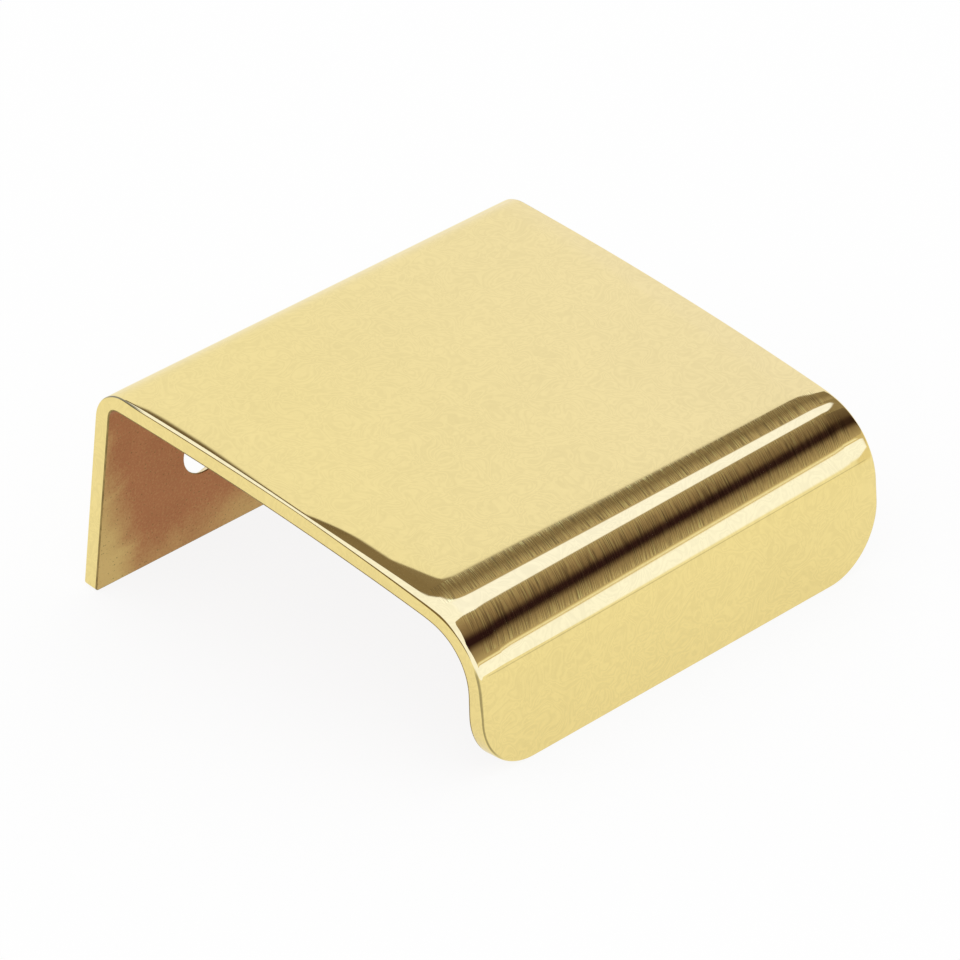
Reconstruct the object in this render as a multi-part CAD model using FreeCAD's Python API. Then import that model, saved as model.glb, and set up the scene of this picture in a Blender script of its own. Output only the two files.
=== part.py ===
"""Tab pull folded from one strip of brass sheet.

The strip has a rear flange that screws to the back of a door or drawer front,
a gently crowned plate that passes over the panel's edge, and a front lip that
the fingers pull on. Units are millimetres. +Z is up, the lip is towards -Y and
the width runs along X. The origin is midway between the two screw holes, on
the flange's inner face, which is the face that lies against the panel.
"""
import os
from math import asin, cos, degrees, radians, sin, tan

import FreeCAD, Part
from FreeCAD import Vector

# Sheet and overall sizes
WIDTH = 45.0                  # length of both folds, along X
SHEET = 1.5                   # thickness of the brass sheet
FLANGE_HEIGHT = 20.0          # from the plate's highest point down to the flange's lower edge
LIP_DROP = 13.15              # from the plate's highest point down to the lip's lower edge, outside
PLATE_SPAN = 33.8             # outer surface, from the rear fold's end to the front fold's start
CROWN_RADIUS = 320.0          # outer radius of the slight crown that the plate keeps after folding

# Folds
REAR_FOLD_RADIUS = 1.55       # inside radius of the square fold at the flange
FRONT_FOLD_RADIUS = 5.15      # inside radius of the wide fold at the lip
LIP_ANGLE = 81.0              # degrees that the lip turns down from level, so it stands out at its foot

# Corners and edges of the strip
LIP_CORNER_RADIUS = 5.5       # large rounded corners at the lip's foot
EDGE_RADIUS = 0.3             # all cut edges, eased by polishing

# Screw holes, countersunk from the flange's rear face
HOLE_PITCH = 22.3
HOLE_DROP = 10.8              # from the plate's highest point down to the holes
HOLE_RADIUS = 2.5
COUNTERSINK_RADIUS = 3.9      # at the rear face
COUNTERSINK_ANGLE = 90.0      # degrees, whole angle of the cone

TOLERANCE = 1e-4

# Worked out from the sizes above
crown_half_angle = degrees(asin(PLATE_SPAN / 2 / CROWN_RADIUS))
rear_fold_turn = 90.0 - crown_half_angle
front_fold_turn = LIP_ANGLE - crown_half_angle
plate_top = HOLE_DROP
flange_foot = plate_top - FLANGE_HEIGHT


def heading_vector(heading):
    """Direction of travel in the YZ plane: 0 degrees is up, 90 degrees is forwards, towards -Y."""
    return Vector(0, -sin(radians(heading)), cos(radians(heading)))


def outward_vector(heading):
    """Direction out of the fold, square to the travel."""
    return Vector(0, cos(radians(heading)), sin(radians(heading)))


class SectionLine:
    """One face of the folded sheet in the YZ plane, drawn from the flange's foot to the lip's foot.

    The outline is drawn along the inner face. offset moves the line outwards by that much.
    """

    def __init__(self, start, offset):
        self.point = start + outward_vector(0) * offset
        self.heading = 0.0
        self.offset = offset
        self.edges = []

    def straight(self, length):
        end = self.point + heading_vector(self.heading) * length
        self.edges.append(Part.LineSegment(self.point, end).toShape())
        self.point = end

    def fold(self, inside_radius, turn):
        radius = inside_radius + self.offset
        centre = self.point - outward_vector(self.heading) * radius
        middle = centre + outward_vector(self.heading + turn / 2) * radius
        end = centre + outward_vector(self.heading + turn) * radius
        self.edges.append(Part.Arc(self.point, middle, end).toShape())
        self.point = end
        self.heading += turn


def fold_drop(outside_radius, start_heading, end_heading):
    """Height lost along an arc of the outer face between two headings."""
    return outside_radius * (sin(radians(start_heading)) - sin(radians(end_heading)))


# Straight lengths of the flange and the lip
rear_fold_rise = fold_drop(REAR_FOLD_RADIUS + SHEET, rear_fold_turn, 0)
crown_rise = fold_drop(CROWN_RADIUS, 90, rear_fold_turn)
flange_straight = FLANGE_HEIGHT - crown_rise - rear_fold_rise
front_fold_drop = fold_drop(FRONT_FOLD_RADIUS + SHEET, 90 + crown_half_angle, 90 + LIP_ANGLE)
lip_straight = (LIP_DROP - crown_rise - front_fold_drop) / sin(radians(LIP_ANGLE))


def section_line(offset):
    """The whole folded line at a distance out from the inner face."""
    line = SectionLine(Vector(-WIDTH / 2, 0, flange_foot), offset)
    line.straight(flange_straight)
    line.fold(REAR_FOLD_RADIUS, rear_fold_turn)
    line.fold(CROWN_RADIUS - SHEET, 2 * crown_half_angle)
    line.fold(FRONT_FOLD_RADIUS, front_fold_turn)
    line.straight(lip_straight)
    return line


def folded_strip():
    """The sheet's section, swept straight across the width."""
    inner = section_line(0)
    outer = section_line(SHEET)
    foot_edge = Part.LineSegment(inner.edges[0].Vertexes[0].Point, outer.edges[0].Vertexes[0].Point)
    lip_edge = Part.LineSegment(inner.point, outer.point)
    outline = inner.edges + [lip_edge.toShape()] + outer.edges + [foot_edge.toShape()]
    wire = Part.Wire(Part.__sortEdges__(outline))
    return Part.Face(wire).extrude(Vector(WIDTH, 0, 0)), outer.point


def passes_through_sheet(edge):
    return abs(edge.Length - SHEET) < TOLERANCE


def round_lip_corners(solid, lip_foot):
    """Rounds the two corners of the lip in the plane of the sheet."""
    corners = []
    for edge in solid.Edges:
        offset = edge.CenterOfMass - lip_foot
        if passes_through_sheet(edge) and max(abs(offset.y), abs(offset.z)) < SHEET:
            corners.append(edge)
    return solid.makeFillet(LIP_CORNER_RADIUS, corners)


def ease_edges(solid, lip_foot):
    """Eases every edge where the sheet was cut, and leaves the lines where the folds begin and end."""
    lip_travel = heading_vector(90 + LIP_ANGLE)
    cut_edges = []
    for edge in solid.Edges:
        middle = edge.valueAt((edge.FirstParameter + edge.LastParameter) / 2)
        at_flange_foot = abs(middle.z - flange_foot) < TOLERANCE
        at_lip_foot = abs((middle - lip_foot).dot(lip_travel)) < TOLERANCE
        at_side = abs(abs(middle.x) - WIDTH / 2) < TOLERANCE
        is_arc = isinstance(edge.Curve, Part.Circle)
        at_corner = is_arc and not at_side and abs(edge.Curve.Radius - LIP_CORNER_RADIUS) < TOLERANCE
        on_face_rim = (at_side or at_lip_foot or at_corner) and not passes_through_sheet(edge)
        if at_flange_foot or on_face_rim:
            cut_edges.append(edge)
    return solid.makeFillet(EDGE_RADIUS, cut_edges)


def screw_hole(x):
    """A clearance hole with its countersink, as one cutter."""
    cone_depth = (COUNTERSINK_RADIUS - HOLE_RADIUS) / tan(radians(COUNTERSINK_ANGLE / 2))
    rearwards = Vector(0, 1, 0)
    shank = Part.makeCylinder(HOLE_RADIUS, 3 * SHEET, Vector(x, -SHEET, 0), rearwards)
    cone_start = Vector(x, SHEET - cone_depth, 0)
    cone = Part.makeCone(HOLE_RADIUS, COUNTERSINK_RADIUS, cone_depth, cone_start, rearwards)
    return shank.fuse(cone)


def tab_pull():
    strip, lip_foot = folded_strip()
    strip = round_lip_corners(strip, lip_foot)
    strip = ease_edges(strip, lip_foot)
    for side in (-1, 1):
        strip = strip.cut(screw_hole(side * HOLE_PITCH / 2))
    return strip.removeSplitter()


os.makedirs("parts", exist_ok=True)
pull = tab_pull()
pull.exportStep("parts/tab_pull.step")
box = pull.BoundBox
print("tab_pull: valid", pull.isValid(), "solids", len(pull.Solids), "faces", len(pull.Faces))
print("box X %.2f..%.2f  Y %.2f..%.2f  Z %.2f..%.2f" % (
    box.XMin, box.XMax, box.YMin, box.YMax, box.ZMin, box.ZMax))
print("volume %.1f mm3, lip straight %.2f, flange straight %.2f" % (pull.Volume, lip_straight, flange_straight))
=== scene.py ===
"""Polished brass tab pull, dressed for a studio photograph.

The pull is one strip of sheet. It is meshed here as a flat blank with rounded lip
corners, buffed edges and countersunk screw holes, and the blank is then bent along
its section line, as the real strip is. Lengths are millimetres until the mesh is
written in metres.
"""

import math

import bmesh
import bpy
import numpy as np
from mathutils import Matrix, Vector


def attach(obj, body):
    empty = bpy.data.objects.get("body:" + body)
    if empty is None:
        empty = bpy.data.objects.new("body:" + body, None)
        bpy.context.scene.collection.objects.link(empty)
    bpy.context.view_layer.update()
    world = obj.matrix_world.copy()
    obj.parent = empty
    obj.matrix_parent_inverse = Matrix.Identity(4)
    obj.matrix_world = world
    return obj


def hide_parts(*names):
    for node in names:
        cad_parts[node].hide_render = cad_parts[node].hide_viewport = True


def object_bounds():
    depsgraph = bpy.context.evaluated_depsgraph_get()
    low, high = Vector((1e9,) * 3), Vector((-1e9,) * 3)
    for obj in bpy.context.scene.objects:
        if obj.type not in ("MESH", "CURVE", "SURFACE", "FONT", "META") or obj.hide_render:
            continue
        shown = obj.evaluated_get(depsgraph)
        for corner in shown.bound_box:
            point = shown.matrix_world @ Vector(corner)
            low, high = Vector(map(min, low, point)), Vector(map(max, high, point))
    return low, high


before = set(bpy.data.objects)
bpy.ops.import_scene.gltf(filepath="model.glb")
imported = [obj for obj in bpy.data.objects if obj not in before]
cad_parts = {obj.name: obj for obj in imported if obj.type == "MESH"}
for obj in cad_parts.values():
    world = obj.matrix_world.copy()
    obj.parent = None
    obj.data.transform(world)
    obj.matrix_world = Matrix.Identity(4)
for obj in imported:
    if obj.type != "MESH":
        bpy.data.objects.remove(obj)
cad_low, cad_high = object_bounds()

MM = 0.001

# Section of the strip, from the flange's foot to the lip's foot
WIDTH = (cad_high.x - cad_low.x) / MM
SHEET = 1.5
FLANGE_HEIGHT = 19.97            # a hair low, so the crown stays inside the part's faceted box
LIP_DROP = 13.13
PLATE_SPAN = 33.8
CROWN_RADIUS = 320.0
REAR_FOLD_RADIUS = 3.05          # outer face
FRONT_FOLD_RADIUS = 6.65         # outer face
LIP_ANGLE = math.radians(81.0)
FLANGE_FOOT = cad_low.z / MM
LIP_CORNER_RADIUS = 5.5

# How softly each fold starts and ends, as the length over which its curvature comes in
REAR_FOLD_EASE = 0.8
FRONT_FOLD_START_EASE = 3.6
FRONT_FOLD_END_EASE = 1.6

# Buffed edges. The outer face falls away over the last millimetres, then turns over a small
# radius. Both change along the strip: one value each at the flange's foot, the rear fold's start
# and end, four places along the plate, the front fold's start and end, and the lip's corners.
ROLL_WIDTH = 2.5
ROLL_POWER = 2.0
LEFT_RIM = (0.25, 0.12, 0.12, 0.25, 0.28, 0.19, 0.27, 0.52, 0.45, 0.25)
RIGHT_RIM = (0.25, 0.15, 0.18, 0.20, 0.22, 0.26, 0.27, 0.30, 0.35, 0.25)
LEFT_ROLL = (0.0, 0.0, 0.05, 0.075, 0.077, 0.067, 0.090, 0.108, 0.06, 0.035)
RIGHT_ROLL = (0.0, 0.0, 0.02, 0.025, 0.037, 0.050, 0.056, 0.075, 0.06, 0.035)
INNER_RIM_RADIUS = 0.08
# Band of the end face beside the inner rim, drawn dark as a painted shade line
TARNISH_WIDTH = 0.06             # of the end face, beside the inner rim
REAR_FOLD_THINNING = 0.25        # the sheet thins in the tight rear fold, so its inner corner is sharper
OUTER_RIM_STEPS = 9
INNER_RIM_STEPS = 4
FOOT_CORNER_STEPS = 5

# Screw holes, countersunk from the rear face
HOLE_X = 11.15
HOLE_RADIUS = 2.5
COUNTERSINK_RADIUS = 3.9
HOLE_BREAK = 0.06                # small break of the hole's sharp edges
PATCH_HALF = 4.8                 # half side of the square of mesh round each hole
PATCH_CELLS = 16                 # cells along each side of that square
PATCH_RINGS = 6

# Mesh density
ROW_STEP = 1.1
ROW_TURN = math.radians(1.0)
CORNER_STEPS = 22
EDGE_STEPS = (0.12, 0.27, 0.45, 0.68, 0.95, 1.3, 1.7, 2.1, 2.5)
SHARP_ANGLE = math.radians(32.0)

# Finish of each face of the mesh. The last is no finish but a painted shade line along the inner rim and the holes'
# front edges
POLISHED, SKIN, BORE, TARNISH = 0, 1, 2, 3


def smooth_step(t):
    t = np.clip(t, 0.0, 1.0)
    return t * t * (3.0 - 2.0 * t)


class SectionLine:
    """Outer face of the strip in the YZ plane, by arc length from the flange's foot."""

    def __init__(self):
        crown_half = math.asin(PLATE_SPAN / 2 / CROWN_RADIUS)
        crown_rise = CROWN_RADIUS * (1 - math.cos(crown_half))
        rear_turn = math.pi / 2 - crown_half
        front_turn = LIP_ANGLE - crown_half
        rear_rise = REAR_FOLD_RADIUS * math.sin(rear_turn)
        front_drop = FRONT_FOLD_RADIUS * (math.cos(crown_half) - math.cos(LIP_ANGLE))
        flange = FLANGE_HEIGHT - crown_rise - rear_rise
        lip = (LIP_DROP - crown_rise - front_drop) / math.sin(LIP_ANGLE)
        self.fold_start = flange
        self.plate_start = flange + REAR_FOLD_RADIUS * rear_turn
        self.front_start = self.plate_start + 2 * CROWN_RADIUS * crown_half
        self.lip_start = self.front_start + FRONT_FOLD_RADIUS * front_turn
        self.length = self.lip_start + lip
        self.corner_start = self.length - LIP_CORNER_RADIUS
        rear_y = SHEET - REAR_FOLD_RADIUS * (1 - math.sin(crown_half))
        self.fold_y = rear_y - PLATE_SPAN + FRONT_FOLD_RADIUS * math.sin(crown_half)
        self.fold_z = FLANGE_FOOT + FLANGE_HEIGHT - crown_rise - FRONT_FOLD_RADIUS * math.cos(crown_half)
        bends = (
            (self.fold_start, 0.0, 1 / REAR_FOLD_RADIUS, REAR_FOLD_EASE),
            (self.plate_start, 1 / REAR_FOLD_RADIUS, 1 / CROWN_RADIUS, REAR_FOLD_EASE),
            (self.front_start, 1 / CROWN_RADIUS, 1 / FRONT_FOLD_RADIUS, FRONT_FOLD_START_EASE),
            (self.lip_start, 1 / FRONT_FOLD_RADIUS, 0.0, FRONT_FOLD_END_EASE),
        )
        self.samples = np.linspace(0.0, self.length, 12001)
        self.bend = np.zeros_like(self.samples)
        for place, before, after, ease in bends:
            self.bend += (after - before) * smooth_step((self.samples - place) / ease + 0.5)
        step = self.samples[1]
        self.heading = self.summed(self.bend) * step
        self.y = SHEET - self.summed(np.sin(self.heading)) * step
        self.z = FLANGE_FOOT + self.summed(np.cos(self.heading)) * step

    @staticmethod
    def summed(values):
        """Running integral by the trapezium rule, for a step of one."""
        return np.concatenate(([0.0], np.cumsum((values[1:] + values[:-1]) / 2)))

    def place(self, along, depth):
        """Point in the YZ plane at an arc length, at a depth below the outer face."""
        inside = np.clip(along, 0.0, self.length)
        beyond = along - inside
        heading = np.interp(inside, self.samples, self.heading)
        y = np.interp(inside, self.samples, self.y) - np.sin(heading) * beyond
        z = np.interp(inside, self.samples, self.z) + np.cos(heading) * beyond
        return y - np.cos(heading) * depth, z - np.sin(heading) * depth

    def rows_between(self, start, stop):
        """Arc lengths spread by how sharply the line turns."""
        fine = self.samples[(self.samples >= start) & (self.samples <= stop)]
        density = np.maximum(1 / ROW_STEP, np.interp(fine, self.samples, self.bend) / ROW_TURN)
        count = self.summed(density) * (fine[1] - fine[0])
        rows = int(math.ceil(count[-1]))
        return np.interp(np.linspace(0.0, count[-1], rows + 1), count, fine)


line = SectionLine()
HOLE_HEIGHT = -FLANGE_FOOT       # along the blank, from the flange's foot

edge_places = (
    0.0,
    line.fold_start,
    line.plate_start,
    line.plate_start + 2.0,
    line.plate_start + 9.0,
    line.plate_start + 19.5,
    line.plate_start + 24.0,
    line.front_start,
    line.lip_start,
    line.corner_start,
)


def by_side(along, x, left, right):
    """A value that changes along the strip, with one table for each side."""
    return np.where(x < 0, np.interp(along, edge_places, left), np.interp(along, edge_places, right))


def rim_radius(along, x):
    return by_side(along, x, LEFT_RIM, RIGHT_RIM)


def roll_drop(along, x):
    return by_side(along, x, LEFT_ROLL, RIGHT_ROLL)


def roll_slope(along, x):
    """Angle that the rolled face has reached where the rim's arc starts."""
    return np.arctan(ROLL_POWER * roll_drop(along, x) / ROLL_WIDTH)


def rim_inset(along, x):
    return rim_radius(along, x) * (1 - np.sin(roll_slope(along, x)))


def sheet_at(along):
    """Thickness of the sheet, which is less round the rear fold."""
    share = np.clip((along - line.fold_start) / (line.plate_start - line.fold_start), 0.0, 1.0)
    return SHEET - REAR_FOLD_THINNING * np.sin(math.pi * share) ** 2


foot_inset = float(rim_inset(0.0, 1.0))
lip_inset = float(rim_inset(line.length, 1.0))
corner_radius = LIP_CORNER_RADIUS - lip_inset


def edge_distance(x, along):
    """Distance in from the blank's outline, whose two lip corners are rounded."""
    half = WIDTH / 2
    side = half - np.abs(x)
    foot = np.minimum(along, line.length - along)
    to_corner_x = np.abs(x) - (half - LIP_CORNER_RADIUS)
    to_corner_u = along - line.corner_start
    corner = LIP_CORNER_RADIUS - np.hypot(to_corner_x, to_corner_u)
    in_corner = (to_corner_x > 0) & (to_corner_u > 0)
    return np.where(in_corner, corner, np.minimum(side, foot))


def roll_depth(x, along):
    """How far the buffed outer face has fallen away."""
    share = 1 - (edge_distance(x, along) - rim_inset(along, x)) / ROLL_WIDTH
    return roll_drop(along, x) * np.clip(share, 0.0, 1.0) ** ROLL_POWER


class Strip:
    """Vertices and faces of the whole strip, in blank coordinates until it is bent."""

    def __init__(self):
        self.points = []
        self.faces = []
        self.finishes = []

    def add(self, x, along, depth):
        self.points.append((x, along, depth))
        return len(self.points) - 1

    def face(self, corners, finish):
        kept = []
        for corner in corners:
            if corner not in kept:
                kept.append(corner)
        if len(kept) > 2:
            self.faces.append(kept)
            self.finishes.append(finish)

    def bridge(self, first, second, finish):
        """Quads between two closed loops of vertices with the same count."""
        for k in range(len(first)):
            after = (k + 1) % len(first)
            self.face((first[k], first[after], second[after], second[k]), finish)


def column_places():
    """X of each column on a flange row, from the left rim to the right one."""
    edge = WIDTH / 2 - foot_inset
    steps = [edge] + [edge - step for step in EDGE_STEPS]
    outer_patch = HOLE_X + PATCH_HALF
    inner_patch = HOLE_X - PATCH_HALF
    right = steps[:-1]
    right += list(np.linspace(steps[-1], outer_patch, 5)[:-1])
    right += list(np.linspace(outer_patch, inner_patch, PATCH_CELLS + 1)[:-1])
    middle = list(np.linspace(inner_patch, -inner_patch, PATCH_CELLS + 1))
    left = [-x for x in right]
    return np.array(sorted(left + middle + right))


def row_places():
    """Arc length of each row, from the flange's foot to the lip's foot."""
    rows = [foot_inset] + [foot_inset + step for step in EDGE_STEPS]
    rows += list(np.linspace(rows[-1], HOLE_HEIGHT - PATCH_HALF, 4)[1:])
    rows += list(np.linspace(HOLE_HEIGHT - PATCH_HALF, HOLE_HEIGHT + PATCH_HALF, PATCH_CELLS + 1)[1:])
    rows += list(line.rows_between(rows[-1], line.corner_start)[1:])
    turns = np.linspace(0, math.pi / 2, CORNER_STEPS + 1)[1:]
    rows += list(line.corner_start + corner_radius * np.sin(turns))
    return np.array(rows)


def half_width(along, side):
    """Half width of a row, in to the rim's arc, which narrows over the lip's corners."""
    past = along - line.corner_start
    if past <= 0:
        return WIDTH / 2 - float(rim_inset(along, side))
    return WIDTH / 2 - LIP_CORNER_RADIUS + math.sqrt(max(0.0, corner_radius ** 2 - past ** 2))


def face_grid(strip, outer):
    """One face of the strip as a grid of vertices."""
    full = columns[-1]
    grid = []
    for along in rows:
        scale = np.where(columns < 0, half_width(along, -1), half_width(along, 1)) / full
        x = columns * scale
        places = np.full_like(x, along)
        depth = roll_depth(x, places) if outer else sheet_at(places)
        grid.append([strip.add(*place) for place in zip(x, places, depth)])
    return grid


def in_patch(x, along):
    return abs(abs(x) - HOLE_X) < PATCH_HALF and abs(along - HOLE_HEIGHT) < PATCH_HALF


def fill_grid(strip, grid, finish):
    """Faces of a grid, without the squares round the holes."""
    for lower, upper in zip(grid, grid[1:]):
        for k in range(len(lower) - 1):
            corners = (lower[k], lower[k + 1], upper[k + 1], upper[k])
            middle = np.mean([strip.points[c][:2] for c in corners], axis=0)
            if not in_patch(*middle):
                strip.face(corners, finish)


def patch_border(grid, side):
    """Vertices of the square round one hole, once round."""
    first_column = int(np.argmin(abs(columns - (side * HOLE_X - PATCH_HALF))))
    first_row = int(np.argmin(abs(rows - (HOLE_HEIGHT - PATCH_HALF))))
    last_column = first_column + PATCH_CELLS
    last_row = first_row + PATCH_CELLS
    border = [grid[first_row][c] for c in range(first_column, last_column)]
    border += [grid[r][last_column] for r in range(first_row, last_row)]
    border += [grid[last_row][c] for c in range(last_column, first_column, -1)]
    border += [grid[r][first_column] for r in range(last_row, first_row, -1)]
    return border


def ring(strip, border, side, radius, depth, blend=0.0):
    """Vertices on a circle round a hole, or part of the way out from it to the square."""
    made = []
    for vertex in border:
        x, along, _ = strip.points[vertex]
        angle = math.atan2(along - HOLE_HEIGHT, x - side * HOLE_X)
        on_x = side * HOLE_X + radius * math.cos(angle)
        on_u = HOLE_HEIGHT + radius * math.sin(angle)
        made.append(strip.add(on_x + (x - on_x) * blend, on_u + (along - on_u) * blend, depth))
    return made


def hole(strip, outer_border, inner_border, side):
    """One countersunk hole between the squares left open in the two faces."""
    shares = [(k / PATCH_RINGS) ** 1.4 for k in range(PATCH_RINGS)]
    rear_rim = COUNTERSINK_RADIUS + HOLE_BREAK / 2
    front_rim = HOLE_RADIUS + HOLE_BREAK
    cone_depth = COUNTERSINK_RADIUS - HOLE_RADIUS
    middle_radius = (COUNTERSINK_RADIUS + HOLE_RADIUS) / 2
    loops = [(outer_border, POLISHED)]
    for share in shares[::-1]:
        loops.append((ring(strip, outer_border, side, rear_rim, 0.0, share), POLISHED))
    wall = (
        (COUNTERSINK_RADIUS - HOLE_BREAK / 2, HOLE_BREAK / 2, BORE),
        (middle_radius, cone_depth / 2, BORE),
        (HOLE_RADIUS, cone_depth, BORE),
        # The hole's front break is drawn as a painted shade line
        (HOLE_RADIUS, SHEET - HOLE_BREAK, TARNISH),
        (front_rim, SHEET, TARNISH),
    )
    for radius, depth, finish in wall:
        loops.append((ring(strip, outer_border, side, radius, depth), finish))
    for share in shares[1:]:
        loops.append((ring(strip, inner_border, side, front_rim, SHEET, share), SKIN))
    loops.append((inner_border, SKIN))
    for (first, _), (second, finish) in zip(loops, loops[1:]):
        strip.bridge(first, second, finish)


def corner_turn(along):
    """Angle round a lip corner that a row has reached."""
    past = max(0.0, along - line.corner_start)
    return math.asin(min(1.0, past / corner_radius))


def outline_steps():
    """Rim vertices once round, as row, column and outward direction in the blank's plane."""
    last_row = len(rows) - 1
    last_column = len(columns) - 1
    fan = np.linspace(0.0, math.pi / 2, FOOT_CORNER_STEPS + 1)
    steps = [(0, last_column, (math.cos(turn), -math.sin(turn))) for turn in fan[::-1]]
    for r in range(1, last_row):
        turn = corner_turn(rows[r])
        steps.append((r, last_column, (math.cos(turn), math.sin(turn))))
    for c in range(last_column, -1, -1):
        steps.append((last_row, c, (0.0, 1.0)))
    for r in range(last_row - 1, 0, -1):
        turn = corner_turn(rows[r])
        steps.append((r, 0, (-math.cos(turn), math.sin(turn))))
    steps += [(0, 0, (-math.cos(turn), -math.sin(turn))) for turn in fan]
    for c in range(1, last_column):
        steps.append((0, c, (0.0, -1.0)))
    return steps


def rim_profile(along, x):
    """Rim section at one place: how far out of the arc's start, and how deep, with each finish."""
    radius = float(rim_radius(along, x))
    slope = float(roll_slope(along, x))
    inset = float(rim_inset(along, x))
    start = float(roll_drop(along, x))
    sheet = float(sheet_at(along))
    profile = []
    for turn in np.linspace(slope, math.pi / 2, OUTER_RIM_STEPS + 1)[1:]:
        out = radius * (math.sin(turn) - math.sin(slope))
        profile.append((out, start + radius * (math.cos(slope) - math.cos(turn))))
    profile.append((inset, sheet - INNER_RIM_RADIUS - TARNISH_WIDTH))
    for turn in np.linspace(0.0, math.pi / 2, INNER_RIM_STEPS + 1):
        back = inset - INNER_RIM_RADIUS * (1 - math.cos(turn))
        profile.append((back, sheet - INNER_RIM_RADIUS * (1 - math.sin(turn))))
    return profile


def rim(strip, outer_grid, inner_grid):
    """The cut edge all round, turned over from the outer face to the inner one."""
    steps = outline_steps()
    loops = [[] for _ in range(OUTER_RIM_STEPS + INNER_RIM_STEPS + 2)]
    for r, c, (out_x, out_u) in steps:
        x, along, _ = strip.points[outer_grid[r][c]]
        for loop, (out, depth) in zip(loops, rim_profile(along, x)):
            loop.append(strip.add(x + out_x * out, along + out_u * out, depth))
    first = [outer_grid[r][c] for r, c, _ in steps]
    last = [inner_grid[r][c] for r, c, _ in steps]
    loops = [first] + loops + [last]
    # The inner rim and the band beside it are drawn as a painted shade line
    finishes = [POLISHED] * (OUTER_RIM_STEPS + 1) + [TARNISH] * (INNER_RIM_STEPS + 1) + [SKIN]
    for before, after, finish in zip(loops, loops[1:], finishes):
        strip.bridge(before, after, finish)


columns = column_places()
rows = row_places()
strip = Strip()
outer_grid = face_grid(strip, outer=True)
inner_grid = face_grid(strip, outer=False)
fill_grid(strip, outer_grid, POLISHED)
fill_grid(strip, inner_grid, SKIN)
rim(strip, outer_grid, inner_grid)
for side in (-1, 1):
    hole(strip, patch_border(outer_grid, side), patch_border(inner_grid, side), side)

flat = np.array(strip.points)
bent_y, bent_z = line.place(flat[:, 1], flat[:, 2])
vertices = np.column_stack((flat[:, 0], bent_y, bent_z)) * MM

mesh = bpy.data.meshes.new("brass_strip")
mesh.from_pydata(vertices.tolist(), [], strip.faces)
for polygon, finish in zip(mesh.polygons, strip.finishes):
    polygon.material_index = finish
pull = bpy.data.objects.new("brass_strip", mesh)
bpy.context.scene.collection.objects.link(pull)


def make_consistent(piece_mesh):
    """Joins doubled vertices and turns every face outwards, smooth apart from true corners."""
    work = bmesh.new()
    work.from_mesh(piece_mesh)
    bmesh.ops.remove_doubles(work, verts=work.verts, dist=1e-7)
    bmesh.ops.recalc_face_normals(work, faces=work.faces)
    for face in work.faces:
        face.smooth = True
    work.to_mesh(piece_mesh)
    work.free()
    piece_mesh.set_sharp_from_angle(angle=SHARP_ANGLE)


make_consistent(mesh)


# Places of the colour sockets on a Mix node, which has others of the same name
COLOUR_A, COLOUR_B, COLOUR_RESULT = 6, 7, 2


class Shader:
    """A node tree with short calls for the nodes that the materials use."""

    def __init__(self, owner):
        owner.use_nodes = True
        self.tree = owner.node_tree
        self.tree.nodes.clear()

    def node(self, kind, **settings):
        made = self.tree.nodes.new(kind)
        for name, value in settings.items():
            setattr(made, name, value)
        return made

    def put(self, value, socket):
        if isinstance(value, bpy.types.NodeSocket):
            self.tree.links.new(value, socket)
        else:
            socket.default_value = value

    def math(self, operation, first, second=0.0):
        made = self.node("ShaderNodeMath", operation=operation)
        self.put(first, made.inputs[0])
        self.put(second, made.inputs[1])
        return made.outputs[0]

    def span(self, value, low, high, to_low=0.0, to_high=1.0, smooth=True):
        """Value carried from one range to another, and held at its ends."""
        made = self.node("ShaderNodeMapRange", interpolation_type="SMOOTHSTEP" if smooth else "LINEAR")
        self.put(value, made.inputs["Value"])
        for name, number in (("From Min", low), ("From Max", high), ("To Min", to_low), ("To Max", to_high)):
            made.inputs[name].default_value = number
        return made.outputs["Result"]

    def mix(self, share, first, second):
        made = self.node("ShaderNodeMix", data_type="RGBA")
        self.put(share, made.inputs["Factor"])
        self.put(first, made.inputs[COLOUR_A])
        self.put(second, made.inputs[COLOUR_B])
        return made.outputs[COLOUR_RESULT]

    def ramp(self, place, stops):
        """Colours at stops between 0 and 1, joined by straight lines."""
        made = self.node("ShaderNodeValToRGB")
        self.put(place, made.inputs[0])
        elements = made.color_ramp.elements
        while len(elements) < len(stops):
            elements.new(0.5)
        for element, (position, _) in zip(elements, stops):
            element.position = position
        for element, (_, colour) in zip(elements, stops):
            element.color = colour
        return made.outputs[0]

    def separate(self, vector):
        made = self.node("ShaderNodeSeparateXYZ")
        self.put(vector, made.inputs[0])
        return made.outputs

    def scaled(self, vector, scale, turn=(0.0, 0.0, 0.0)):
        made = self.node("ShaderNodeMapping")
        self.put(vector, made.inputs["Vector"])
        made.inputs["Scale"].default_value = scale
        made.inputs["Rotation"].default_value = turn
        return made.outputs["Vector"]

    def noise(self, vector, scale=1.0, detail=2.0, roughness=0.5, distortion=0.0):
        made = self.node("ShaderNodeTexNoise")
        self.put(vector, made.inputs["Vector"])
        made.inputs["Scale"].default_value = scale
        made.inputs["Detail"].default_value = detail
        made.inputs["Roughness"].default_value = roughness
        made.inputs["Distortion"].default_value = distortion
        return made.outputs["Fac"]

    def bump(self, height, distance):
        made = self.node("ShaderNodeBump")
        self.put(height, made.inputs["Height"])
        made.inputs["Distance"].default_value = distance
        return made.outputs["Normal"]

    def metal(self, colour, roughness, normal):
        """A metal surface, wired to the material's output."""
        surface = self.node("ShaderNodeBsdfPrincipled")
        surface.inputs["Metallic"].default_value = 1.0
        self.put(colour, surface.inputs["Base Color"])
        self.put(roughness, surface.inputs["Roughness"])
        self.put(normal, surface.inputs["Normal"])
        output = self.node("ShaderNodeOutputMaterial")
        self.put(surface.outputs[0], output.inputs["Surface"])


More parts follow.
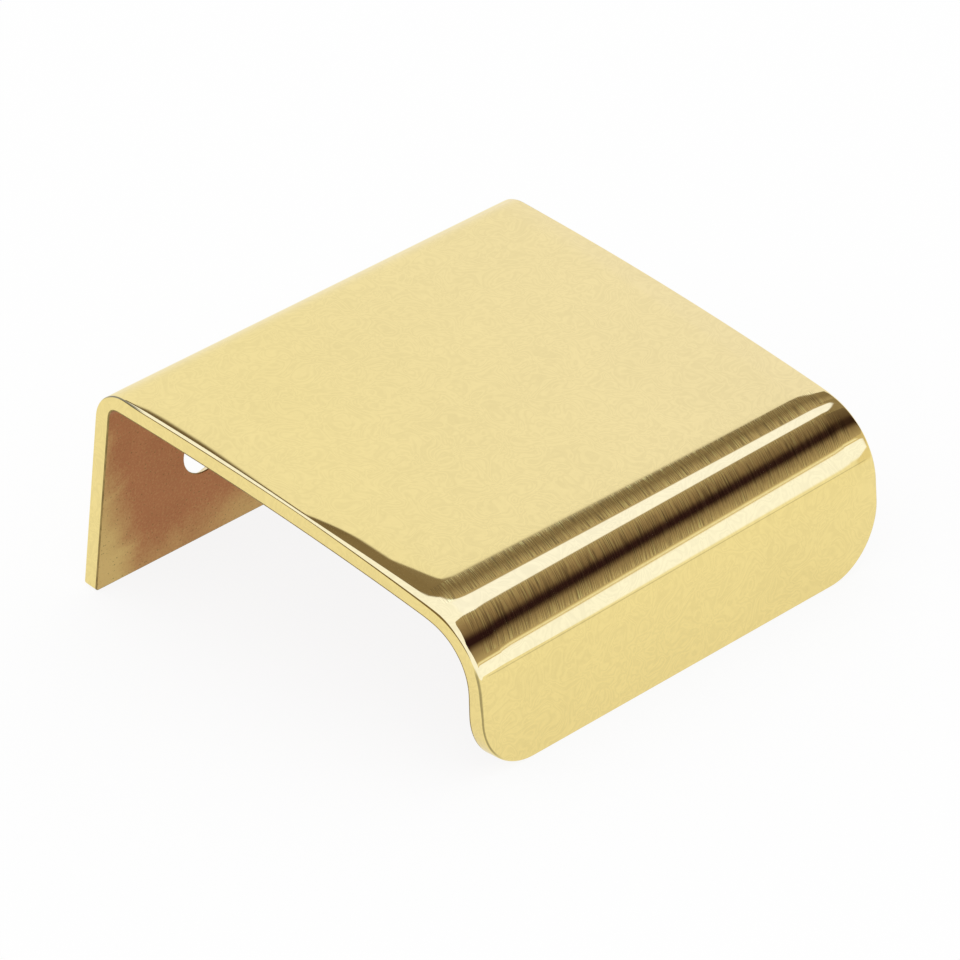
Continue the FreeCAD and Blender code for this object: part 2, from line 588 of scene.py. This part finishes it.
BRASS = (0.855, 0.716, 0.328)
COPPER = (0.44, 0.187, 0.086, 1.0)
# Golden tone that the skin takes near its ends and foot: a painted reflection of brighter floor
GOLDEN = (0.67, 0.50, 0.21, 1.0)
PALE_COPPER = (0.60, 0.36, 0.16, 1.0)
SPECK = (0.16, 0.13, 0.045, 1.0)
MIRROR_ROUGHNESS = 0.03
SCORED_ROUGHNESS = 0.06


def lip_line(shader, x, z, degrees):
    """Thin dark line painted where the lip's face turns over into its cut edge, round to the corners: a painted dark
    reflection.
    """
    corner_z = float(line.place(line.corner_start, 0.0)[1])
    past_side = shader.math("SUBTRACT", shader.math("ABSOLUTE", x), (WIDTH / 2 - LIP_CORNER_RADIUS) * MM)
    past_side = shader.math("MAXIMUM", past_side, 0.0)
    past_corner = shader.math("SUBTRACT", corner_z * MM, z)
    past_corner = shader.math("MAXIMUM", shader.math("DIVIDE", past_corner, math.sin(LIP_ANGLE)), 0.0)
    squares = shader.math("ADD", shader.math("POWER", past_side, 2.0), shader.math("POWER", past_corner, 2.0))
    inwards = shader.math("SUBTRACT", LIP_CORNER_RADIUS * MM, shader.math("SQRT", squares))
    dull = shader.math("MULTIPLY", shader.span(inwards, 0.00002, 0.00005), shader.span(inwards, 0.00010, 0.00020, 1.0, 0.0))
    dull = shader.math("MULTIPLY", dull, shader.span(past_side, 0.0030, 0.0048))
    return shader.math("MULTIPLY", dull, shader.span(degrees, 54.0, 64.0, 0.0, 0.55))


def fold_line(shader, side, y, z):
    """Thin dark line painted where the rear fold's outer face turns over into its cut edge: a painted dark reflection.
    """
    dull = shader.math("MULTIPLY", shader.span(side, 0.0, 0.00002), shader.span(side, 0.00010, 0.00015, 1.0, 0.0))
    dull = shader.math("MULTIPLY", dull, shader.span(y, -0.0040, -0.0024))
    return shader.math("MULTIPLY", dull, shader.span(z, 0.0086, 0.0100, 0.0, 0.75))


def polished_brass():
    """Mirror-buffed brass with faint mottling and fine marks that run round the folds. The marks' lighter strokes are
    painted sheen. Thin dark lines at the cut edges and at the front fold's end are painted dark reflections.
    """
    material = bpy.data.materials.new("polished_brass")
    shader = Shader(material)
    place = shader.node("ShaderNodeTexCoord").outputs["Object"]
    x, y, z = shader.separate(place)
    forwards = shader.math("SUBTRACT", line.fold_y * MM, y)
    upwards = shader.math("SUBTRACT", z, line.fold_z * MM)
    turn = shader.math("ARCTAN2", forwards, upwards)
    round_fold = shader.math("MULTIPLY", turn, FRONT_FOLD_RADIUS * MM)
    leaning = shader.node("ShaderNodeCombineXYZ")
    shader.put(shader.math("ADD", x, shader.math("MULTIPLY", round_fold, 0.25)), leaning.inputs[0])
    shader.put(round_fold, leaning.inputs[1])
    strokes = leaning.outputs[0]
    degrees = shader.math("DEGREES", turn)
    mottle = shader.noise(place, scale=800.0, detail=3.0, distortion=1.8)
    broad = shader.noise(place, scale=90.0)
    fine = shader.noise(shader.scaled(strokes, (11500.0, 420.0, 1.0)), detail=1.0, roughness=0.5)
    groups = shader.noise(shader.scaled(strokes, (1500.0, 500.0, 1.0)))
    stray = shader.noise(shader.scaled(strokes, (5200.0, 260.0, 1.0), (0.0, 0.0, 0.55)))
    side = shader.math("SUBTRACT", WIDTH / 2 * MM, shader.math("ABSOLUTE", x))
    past_start = shader.math("SUBTRACT", degrees, shader.math("MULTIPLY", x, 120.0))
    marked = shader.math("MULTIPLY", shader.span(side, 0.0008, 0.0018), shader.span(past_start, -6.8, -5.6))
    marked = shader.math("MULTIPLY", marked, shader.span(degrees, 56.0, 64.0, 1.0, 0.0))
    first_end = shader.math("SUBTRACT", degrees, shader.math("MULTIPLY", x, 65.0))
    second_start = shader.math("ADD", degrees, shader.math("MULTIPLY", x, 85.0))
    second_end = shader.math("ADD", degrees, shader.math("MULTIPLY", x, 190.0))
    brighter = shader.math("MULTIPLY", shader.span(first_end, 8.6, 9.6), shader.span(second_start, 18.7, 19.9, 1.0, 0.0))
    brighter = shader.math("MAXIMUM", brighter, shader.span(second_end, 46.2, 47.4))
    marked = shader.math("MULTIPLY", marked, shader.math("SUBTRACT", 1.0, brighter))
    shade = shader.math("ADD", shader.span(mottle, 0.3, 0.7, 0.985, 1.01), shader.span(broad, 0.3, 0.7, -0.008, 0.008))
    ripple = shader.math("SINE", shader.math("MULTIPLY", shader.noise(place, scale=420.0, distortion=1.2), 55.0))
    shade = shader.math("ADD", shade, shader.math("MULTIPLY", ripple, 0.028))
    # Buffing marks: the darker strokes are real marks, while the lighter strokes and the strays are painted sheen.
    # They are drawn only in the fold's dark reflection bands, kept off its bright ones
    scored = shader.math("MULTIPLY", shader.span(fine, 0.36, 0.64, -0.38, 0.34), shader.span(groups, 0.3, 0.7, 0.5, 1.2))
    scored = shader.math("ADD", scored, shader.span(stray, 0.73, 0.78, 0.0, 0.25))
    scored = shader.math("MULTIPLY", scored, marked)
    shade = shader.math("MULTIPLY", shade, shader.math("ADD", scored, 1.0))
    # Painted dark reflections: thin dark lines along the lip's corners and the rear fold's cut edges
    shade = shader.math("MULTIPLY", shade, shader.math("SUBTRACT", 1.0, lip_line(shader, x, z, degrees)))
    shade = shader.math("MULTIPLY", shade, shader.math("SUBTRACT", 1.0, fold_line(shader, side, y, z)))
    # Thin dark line painted at the front fold's end: a painted dark reflection
    fold_end = shader.math("ADD", degrees, shader.math("MULTIPLY", x, 115.0))
    dull = shader.math("MULTIPLY", shader.span(fold_end, 62.0, 62.4), shader.span(fold_end, 62.8, 63.2, 0.24, 0.0))
    dull = shader.math("MULTIPLY", dull, shader.span(side, 0.0005, 0.0014))
    shade = shader.math("MULTIPLY", shade, shader.math("SUBTRACT", 1.0, dull))
    colour = shader.node("ShaderNodeVectorMath", operation="SCALE")
    colour.inputs[0].default_value = BRASS
    shader.put(shade, colour.inputs["Scale"])
    roughness = shader.span(shader.math("ABSOLUTE", scored), 0.05, 0.25, MIRROR_ROUGHNESS, SCORED_ROUGHNESS)
    shader.metal(colour.outputs[0], roughness, shader.bump(fine, 0.000000012))
    return material


def pickled_skin():
    """Unpolished inner face: a copper-toned satin skin, painted lighter and golden near its ends and its foot, a
    painted reflection of the brighter floor that it mirrors there.
    """
    material = bpy.data.materials.new("pickled_skin")
    shader = Shader(material)
    place = shader.node("ShaderNodeTexCoord").outputs["Object"]
    x, y, z = shader.separate(place)
    cloud = shader.noise(place, scale=170.0, detail=4.0, roughness=0.6, distortion=0.8)
    grain = shader.noise(place, scale=4200.0, detail=3.0, roughness=0.7)
    speck = shader.noise(place, scale=5200.0, detail=0.0)
    side = shader.math("SUBTRACT", WIDTH / 2 * MM, shader.math("ABSOLUTE", x))
    foot = shader.math("SUBTRACT", z, FLANGE_FOOT * MM)
    wander = shader.math("MULTIPLY", shader.math("SUBTRACT", cloud, 0.5), 0.005)
    from_side = shader.math("ADD", shader.math("ADD", side, shader.math("MULTIPLY", foot, 0.36)), wander)
    from_foot = shader.math("ADD", foot, wander)
    by_foot = shader.math("MULTIPLY", shader.span(from_foot, 0.0002, 0.0042, 0.9, 0.0), shader.span(x, -0.0105, -0.006, 0.42, 0.72))
    # Painted reflection: the skin is drawn golden near its ends and its foot, where it mirrors brighter floor
    golden = shader.math("MAXIMUM", shader.span(from_side, 0.0020, 0.0068, 1.0, 0.0), by_foot)
    grainy = shader.math("ADD", golden, shader.span(grain, 0.35, 0.65, -0.10, 0.10))
    colour = shader.mix(shader.span(grainy, 0.0, 1.0, smooth=False), COPPER, GOLDEN)
    colour = shader.mix(shader.span(grain, 0.45, 0.7, 0.0, 0.16), colour, PALE_COPPER)
    colour = shader.mix(shader.span(speck, 0.72, 0.76, 0.0, 0.55), colour, SPECK)
    roughness = shader.span(cloud, 0.3, 0.7, 0.36, 0.46)
    shader.metal(colour, roughness, shader.bump(grain, 0.000002))
    return material


def machined_bore():
    """Drilled and countersunk wall, with fine rings from the cutter."""
    material = bpy.data.materials.new("machined_bore")
    shader = Shader(material)
    place = shader.node("ShaderNodeTexCoord").outputs["Object"]
    rings = shader.noise(shader.scaled(place, (60.0, 9000.0, 60.0)))
    colour = shader.mix(shader.span(rings, 0.3, 0.7), (0.80, 0.62, 0.27, 1.0), (0.86, 0.70, 0.33, 1.0))
    shader.metal(colour, shader.span(rings, 0.3, 0.7, 0.22, 0.32), shader.bump(rings, 0.000004))
    return material


def tarnished_line():
    """Thin dark line painted where the cut edge meets the inner face, and at the holes' front edges: painted shade."""
    material = bpy.data.materials.new("tarnished_line")
    shader = Shader(material)
    place = shader.node("ShaderNodeTexCoord").outputs["Object"]
    cloud = shader.noise(place, scale=700.0)
    colour = shader.mix(shader.span(cloud, 0.3, 0.7), (0.22, 0.16, 0.065, 1.0), (0.38, 0.28, 0.11, 1.0))
    shader.metal(colour, shader.span(cloud, 0.3, 0.7, 0.30, 0.42), shader.bump(cloud, 0.000002))
    return material


for material in (polished_brass(), pickled_skin(), machined_bore(), tarnished_line()):
    mesh.materials.append(material)

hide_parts("tab_pull")
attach(pull, "root")


# What polished metal mirrors. Up-and-over is the angle of a direction round the X axis: 0 is
# straight back, 90 straight up and 180 straight forwards, over the camera. The colours are
# soft boxes and the flags between them, at up-and-over angles in degrees.
LEFT_WALL = (1.0, 0.99, 0.97, 1.0)
RIGHT_WALL = (1.0, 1.0, 1.16, 1.0)
SOFT_BOX = (1.13, 1.22, 1.75, 1.0)
REAR_SIDE_FLAG = (0.18, 0.135, 0.09, 1.0)
FRONT_SIDE_FLAG = (0.25, 0.195, 0.14, 1.0)
BANDS = (
    (52.0, (0.30, 0.25, 0.19)),
    (58.5, (0.25, 0.195, 0.145)),
    (63.5, (0.40, 0.33, 0.26)),
    (69.7, (0.52, 0.43, 0.34)),
    (70.6, (1.15, 1.25, 1.9)),
    (86.0, (1.15, 1.25, 1.9)),
    (86.7, (0.46, 0.38, 0.29)),
    (97.5, (0.31, 0.235, 0.18)),
    (106.5, (0.21, 0.15, 0.11)),
    (112.0, (0.065, 0.036, 0.032)),
    (115.0, (0.028, 0.011, 0.016)),
    (121.0, (0.026, 0.010, 0.014)),
    (124.2, (0.10, 0.065, 0.05)),
    (129.5, (0.275, 0.21, 0.16)),
    (137.3, (0.40, 0.325, 0.245)),
    (144.0, (0.52, 0.43, 0.33)),
    (145.4, (0.88, 0.80, 0.62)),
    (147.4, (1.06, 1.08, 1.15)),
    (148.4, (0.74, 0.62, 0.44)),
    (149.2, (0.74, 0.62, 0.44)),
    (150.2, (1.15, 1.25, 1.8)),
    (169.5, (1.15, 1.25, 1.8)),
    (172.0, (1.02, 1.0, 0.92)),
    (177.0, (1.0, 0.97, 0.85)),
)
# How much later each angle comes at the left than at the middle, and how much sooner at the right
BAND_SLANT = (
    (52.0, -0.9),
    (72.0, -0.9),
    (84.0, 3.4),
    (112.0, 6.0),
    (150.0, 7.5),
    (166.0, 5.5),
    (177.0, 5.5),
)
# Left limit of the flags, where the soft box beside the pull takes over, as X of the direction
SIDE_BOX_EDGE = (
    (52.0, 0.455),
    (57.0, 0.460),
    (58.5, 0.475),
    (60.0, 0.500),
    (62.5, 0.530),
    (66.0, 0.540),
    (68.5, 0.556),
    (69.6, 0.575),
    (70.4, 0.60),
    (71.5, 0.54),
    (86.0, 0.54),
    (92.0, 0.42),
    (104.0, 0.22),
    (112.0, -0.10),
    (117.0, -0.40),
    (124.0, -0.40),
    (132.0, -0.15),
    (144.0, 0.10),
    (177.0, 0.30),
)
# Right limit of the soft boxes
RIGHT_EDGE = (
    (52.0, 1.0),
    (65.0, 1.0),
    (67.5, 0.665),
    (69.0, 0.69),
    (72.0, 0.708),
    (75.0, 0.712),
    (79.0, 0.700),
    (82.0, 0.685),
    (84.0, 0.668),
    (86.5, 0.655),
    (88.5, 1.0),
    (128.0, 1.0),
    (134.5, 0.70),
    (141.5, 0.728),
    (154.5, 0.728),
    (160.5, 0.70),
    (165.0, 0.68),
    (177.0, 0.68),
)
FIRST_ANGLE, LAST_ANGLE = 52.0, 177.0
WALL_EDGE = 54.97                # where the wall behind the pull ends, at the middle of the view
MIDDLE_X = 0.63                  # X of the direction mirrored at the middle of the pull


def ramp_stops(table, as_colour):
    made = []
    for angle, value in table:
        made.append(((angle - FIRST_ANGLE) / (LAST_ANGLE - FIRST_ANGLE), as_colour(value)))
    return made


def studio_world():
    """White room for the eye and for matt surfaces, with the soft boxes and flags that polished metal mirrors."""
    world = bpy.data.worlds.new("studio")
    bpy.context.scene.world = world
    shader = Shader(world)
    world.cycles.sampling_method = "NONE"
    direction = shader.node("ShaderNodeTexCoord").outputs["Generated"]
    x, y, z = shader.separate(direction)
    angle = shader.math("DEGREES", shader.math("ARCTAN2", z, y))
    aside = shader.span(x, MIDDLE_X - 0.03, MIDDLE_X + 0.03, -1.4, 1.4, smooth=False)
    unslanted = shader.span(angle, FIRST_ANGLE, LAST_ANGLE, smooth=False)
    slant = shader.ramp(unslanted, ramp_stops(BAND_SLANT, lambda lag: ((lag + 10) / 20,) * 3 + (1.0,)))
    slant = shader.span(slant, 0.0, 1.0, -10.0, 10.0, smooth=False)
    slanted = shader.math("ADD", angle, shader.math("MULTIPLY", aside, slant))
    place = shader.span(slanted, FIRST_ANGLE, LAST_ANGLE, smooth=False)
    bands = shader.ramp(place, ramp_stops(BANDS, lambda colour: (*colour, 1.0)))
    past_wall = shader.math("SUBTRACT", angle, shader.math("MULTIPLY", aside, 0.34))
    wall = shader.mix(shader.span(x, 0.600, 0.655, smooth=False), LEFT_WALL, RIGHT_WALL)
    shaded = shader.math("MULTIPLY", shader.span(x, 0.63, 0.685), shader.span(angle, 82.0, 86.0))
    shaded = shader.math("MULTIPLY", shaded, shader.span(angle, 108.0, 124.0, 1.0, 0.0))
    bands = shader.mix(shader.math("MULTIPLY", shaded, 0.55), bands, (0.05, 0.03, 0.02, 1.0))
    colour = shader.mix(shader.span(past_wall, WALL_EDGE - 0.12, WALL_EDGE + 0.12), wall, bands)
    wider = shader.math("SUBTRACT", x, shader.span(angle, 51.3, 53.0, 0.0, 0.022))
    beside = shader.math("MULTIPLY", shader.span(wider, 0.520, 0.532, 1.0, 0.0), shader.span(angle, 43.0, 43.8))
    beside = shader.math("MULTIPLY", beside, shader.span(angle, 58.0, 62.0, 1.0, 0.0))
    side_flag = shader.mix(shader.span(angle, 51.5, 54.5), REAR_SIDE_FLAG, FRONT_SIDE_FLAG)
    colour = shader.mix(beside, colour, side_flag)
    right_edge = shader.ramp(unslanted, ramp_stops(RIGHT_EDGE, lambda x_limit: (x_limit, x_limit, x_limit, 1.0)))
    past_right = shader.span(shader.math("SUBTRACT", x, right_edge), -0.006, 0.006)
    right_colour = shader.mix(shader.span(angle, 100.0, 142.0), (0.32, 0.26, 0.19, 1.0), (0.72, 0.62, 0.45, 1.0))
    right_colour = shader.mix(shader.span(angle, 146.0, 156.0), right_colour, (0.90, 0.83, 0.64, 1.0))
    past_right = shader.math("MULTIPLY", past_right, shader.span(angle, 168.0, 175.0, 1.0, 0.0))
    colour = shader.mix(past_right, colour, right_colour)
    side_edge = shader.ramp(place, ramp_stops(SIDE_BOX_EDGE, lambda x_limit: ((x_limit + 1) / 2,) * 3 + (1.0,)))
    side_limit = shader.math("SUBTRACT", shader.math("MULTIPLY", side_edge, 2.0), 1.0)
    in_side_box = shader.span(shader.math("SUBTRACT", x, side_limit), -0.008, 0.008, 1.0, 0.0)
    colour = shader.mix(in_side_box, colour, SOFT_BOX)
    far_left = shader.math("ADD", x, shader.span(angle, 24.0, 40.0, 0.0, 0.07))
    far_left = shader.math("ADD", far_left, shader.span(angle, 55.0, 90.0, 0.0, 0.16))
    colour = shader.mix(shader.span(far_left, -0.76, -0.72, 1.0, 0.0), colour, (0.22, 0.16, 0.08, 1.0))
    rays = shader.node("ShaderNodeLightPath")
    colour = shader.mix(rays.outputs["Is Glossy Ray"], (1.0, 1.0, 1.0, 1.0), colour)
    background = shader.node("ShaderNodeBackground")
    shader.put(colour, background.inputs["Color"])
    background.inputs["Strength"].default_value = 1.0
    output = shader.node("ShaderNodeOutputWorld")
    shader.put(background.outputs[0], output.inputs["Surface"])


FLOOR_REACH = 2.0                # metres, half the width, and out behind the pull
FLOOR_FRONT = 0.18               # metres in front of the pull
FLOOR_GLOW = 0.88                # share of plain white in what the camera sees of the floor
MIRRORED_GLOW = 0.75             # share of warm white in what the brass mirrors of the floor


def floor():
    """Pale floor through both feet of the pull, which keeps a soft shadow."""
    inner_foot = Vector((0.0, 0.0, FLANGE_FOOT)) * MM
    by_lip = vertices[vertices[:, 1] < cad_low.y + 4 * MM]
    lip_foot = Vector(by_lip[np.argmin(by_lip[:, 2])])
    lip_foot.x = 0.0
    forwards = (lip_foot - inner_foot).normalized()
    across = Vector((1.0, 0.0, 0.0))
    middle = (inner_foot + lip_foot) / 2
    corners = []
    for a, b in ((-1, -FLOOR_REACH), (1, -FLOOR_REACH), (1, FLOOR_FRONT), (-1, FLOOR_FRONT)):
        corners.append(tuple(middle + across * a * FLOOR_REACH + forwards * b))
    made = bpy.data.meshes.new("floor")
    made.from_pydata(corners, [], [(0, 1, 2, 3)])
    ground = bpy.data.objects.new("floor", made)
    bpy.context.scene.collection.objects.link(ground)
    material = bpy.data.materials.new("pale_floor")
    shader = Shader(material)
    matt = shader.node("ShaderNodeBsdfDiffuse")
    matt.inputs["Color"].default_value = (0.96, 0.96, 0.96, 1.0)
    glow = shader.node("ShaderNodeEmission")
    rays = shader.node("ShaderNodeLightPath")
    blend = shader.node("ShaderNodeMixShader")
    mirrored = rays.outputs["Is Glossy Ray"]
    shader.put(shader.mix(mirrored, (1.0, 1.0, 1.0, 1.0), (1.0, 0.965, 0.83, 1.0)), glow.inputs["Color"])
    seen = shader.math("MULTIPLY", rays.outputs["Is Camera Ray"], FLOOR_GLOW)
    shader.put(shader.math("ADD", seen, shader.math("MULTIPLY", mirrored, MIRRORED_GLOW)), blend.inputs[0])
    shader.put(matt.outputs[0], blend.inputs[1])
    shader.put(glow.outputs[0], blend.inputs[2])
    output = shader.node("ShaderNodeOutputMaterial")
    shader.put(blend.outputs[0], output.inputs["Surface"])
    made.materials.append(material)


def photograph_camera():
    """Camera at the photograph's viewing angle, with its slight roll."""
    place = Vector((-330.305, -303.201, 315.967)) * MM
    forward = Vector((0.615645, 0.529049, -0.584028)).normalized()
    roll = math.radians(6.373)
    level_right = forward.cross(Vector((0.0, 0.0, 1.0))).normalized()
    level_up = level_right.cross(forward)
    right = level_right * math.cos(roll) + level_up * math.sin(roll)
    up = level_up * math.cos(roll) - level_right * math.sin(roll)
    lens = bpy.data.cameras.new("camera")
    lens.lens = 254.495
    lens.sensor_width = 36.0
    lens.clip_start = 0.01
    lens.clip_end = 10.0
    camera = bpy.data.objects.new("camera", lens)
    bpy.context.scene.collection.objects.link(camera)
    axes = Matrix((right, up, -forward)).transposed()
    camera.matrix_world = Matrix.Translation(place) @ axes.to_4x4()
    bpy.context.scene.camera = camera


studio_world()
floor()
photograph_camera()
bpy.context.scene.view_settings.view_transform = "Standard"
